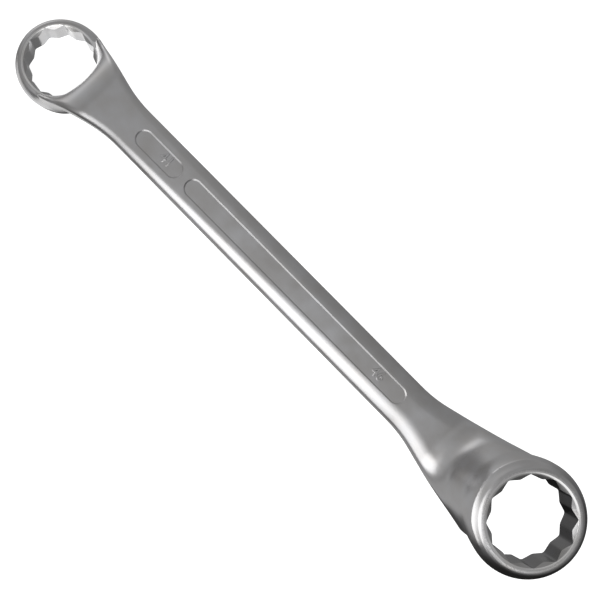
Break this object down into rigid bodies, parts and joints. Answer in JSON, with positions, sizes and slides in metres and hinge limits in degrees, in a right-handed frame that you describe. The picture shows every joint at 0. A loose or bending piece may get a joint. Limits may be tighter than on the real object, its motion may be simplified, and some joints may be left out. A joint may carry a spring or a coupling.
{
  "type": "double ended ring spanner",
  "caption": "Deep offset ring spanner in satin chrome, with a flat shank and a 12 point ring at each end, offset to opposite sides.",
  "frame": {"origin": "halfway along the spanner and halfway between the outer faces of its two rings, on the shank's middle plane", "axes": "+X along the shank towards the 46 mm ring, +Z out of the outer face of the 46 mm ring, +Y across the shank"},
  "size_m": [0.4588, 0.0696, 0.122],
  "materials": {
    "satin_chrome": "satin"
  },
  "bodies": {
    "root": {"spanner_forging": "satin_chrome"}
  },
  "joints": []
}
